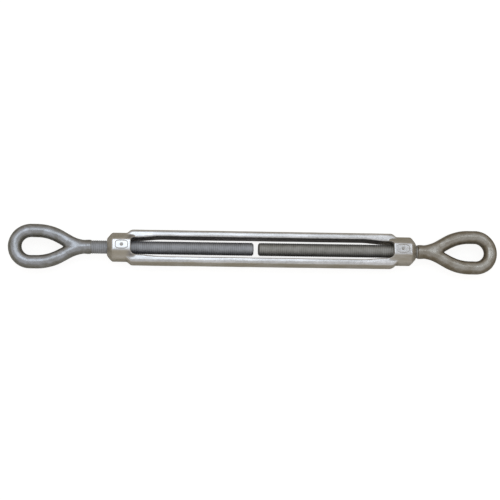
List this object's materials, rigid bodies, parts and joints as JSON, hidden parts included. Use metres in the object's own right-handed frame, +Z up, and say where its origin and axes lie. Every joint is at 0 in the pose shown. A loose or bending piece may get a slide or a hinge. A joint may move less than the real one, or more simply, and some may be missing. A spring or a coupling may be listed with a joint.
{
  "type": "rigging turnbuckle",
  "caption": "Eye-and-eye rigging turnbuckle: an open forged body with a tapped boss at each end, drawing in two eye bolts with threads of opposite hand.",
  "frame": {"origin": "middle of the overall length and width, on the plane that the boss flats rest on", "axes": "+X along the screw axis towards the right-hand-threaded eye bolt, +Z up out of the plane of the rails and eyes"},
  "size_m": [0.5936, 0.0544, 0.0331],
  "materials": {
    "galvanised_body": "hot-dip galvanised forging, bright and mottled, olive-tan on its slanted sides",
    "galvanised_bolt": "hot-dip galvanised forging, dull mid-grey"
  },
  "bodies": {
    "body": {"turnbuckle_body": "galvanised_body"},
    "left_bolt": {"eye_bolt_left_hand": "galvanised_bolt"},
    "right_bolt": {"eye_bolt_right_hand": "galvanised_bolt"}
  },
  "joints": [
    {"name": "left_take_up", "type": "slide", "parent": "body", "child": "left_bolt", "axis": [-1, 0, 0], "range_m": [-0.0025, 0.145]},
    {"name": "right_take_up", "type": "slide", "parent": "body", "child": "right_bolt", "axis": [1, 0, 0], "range_m": [-0.0025, 0.145]}
  ],
  "couplings": [
    {"joint": "right_take_up", "follows": "left_take_up", "ratio": 1}
  ]
}
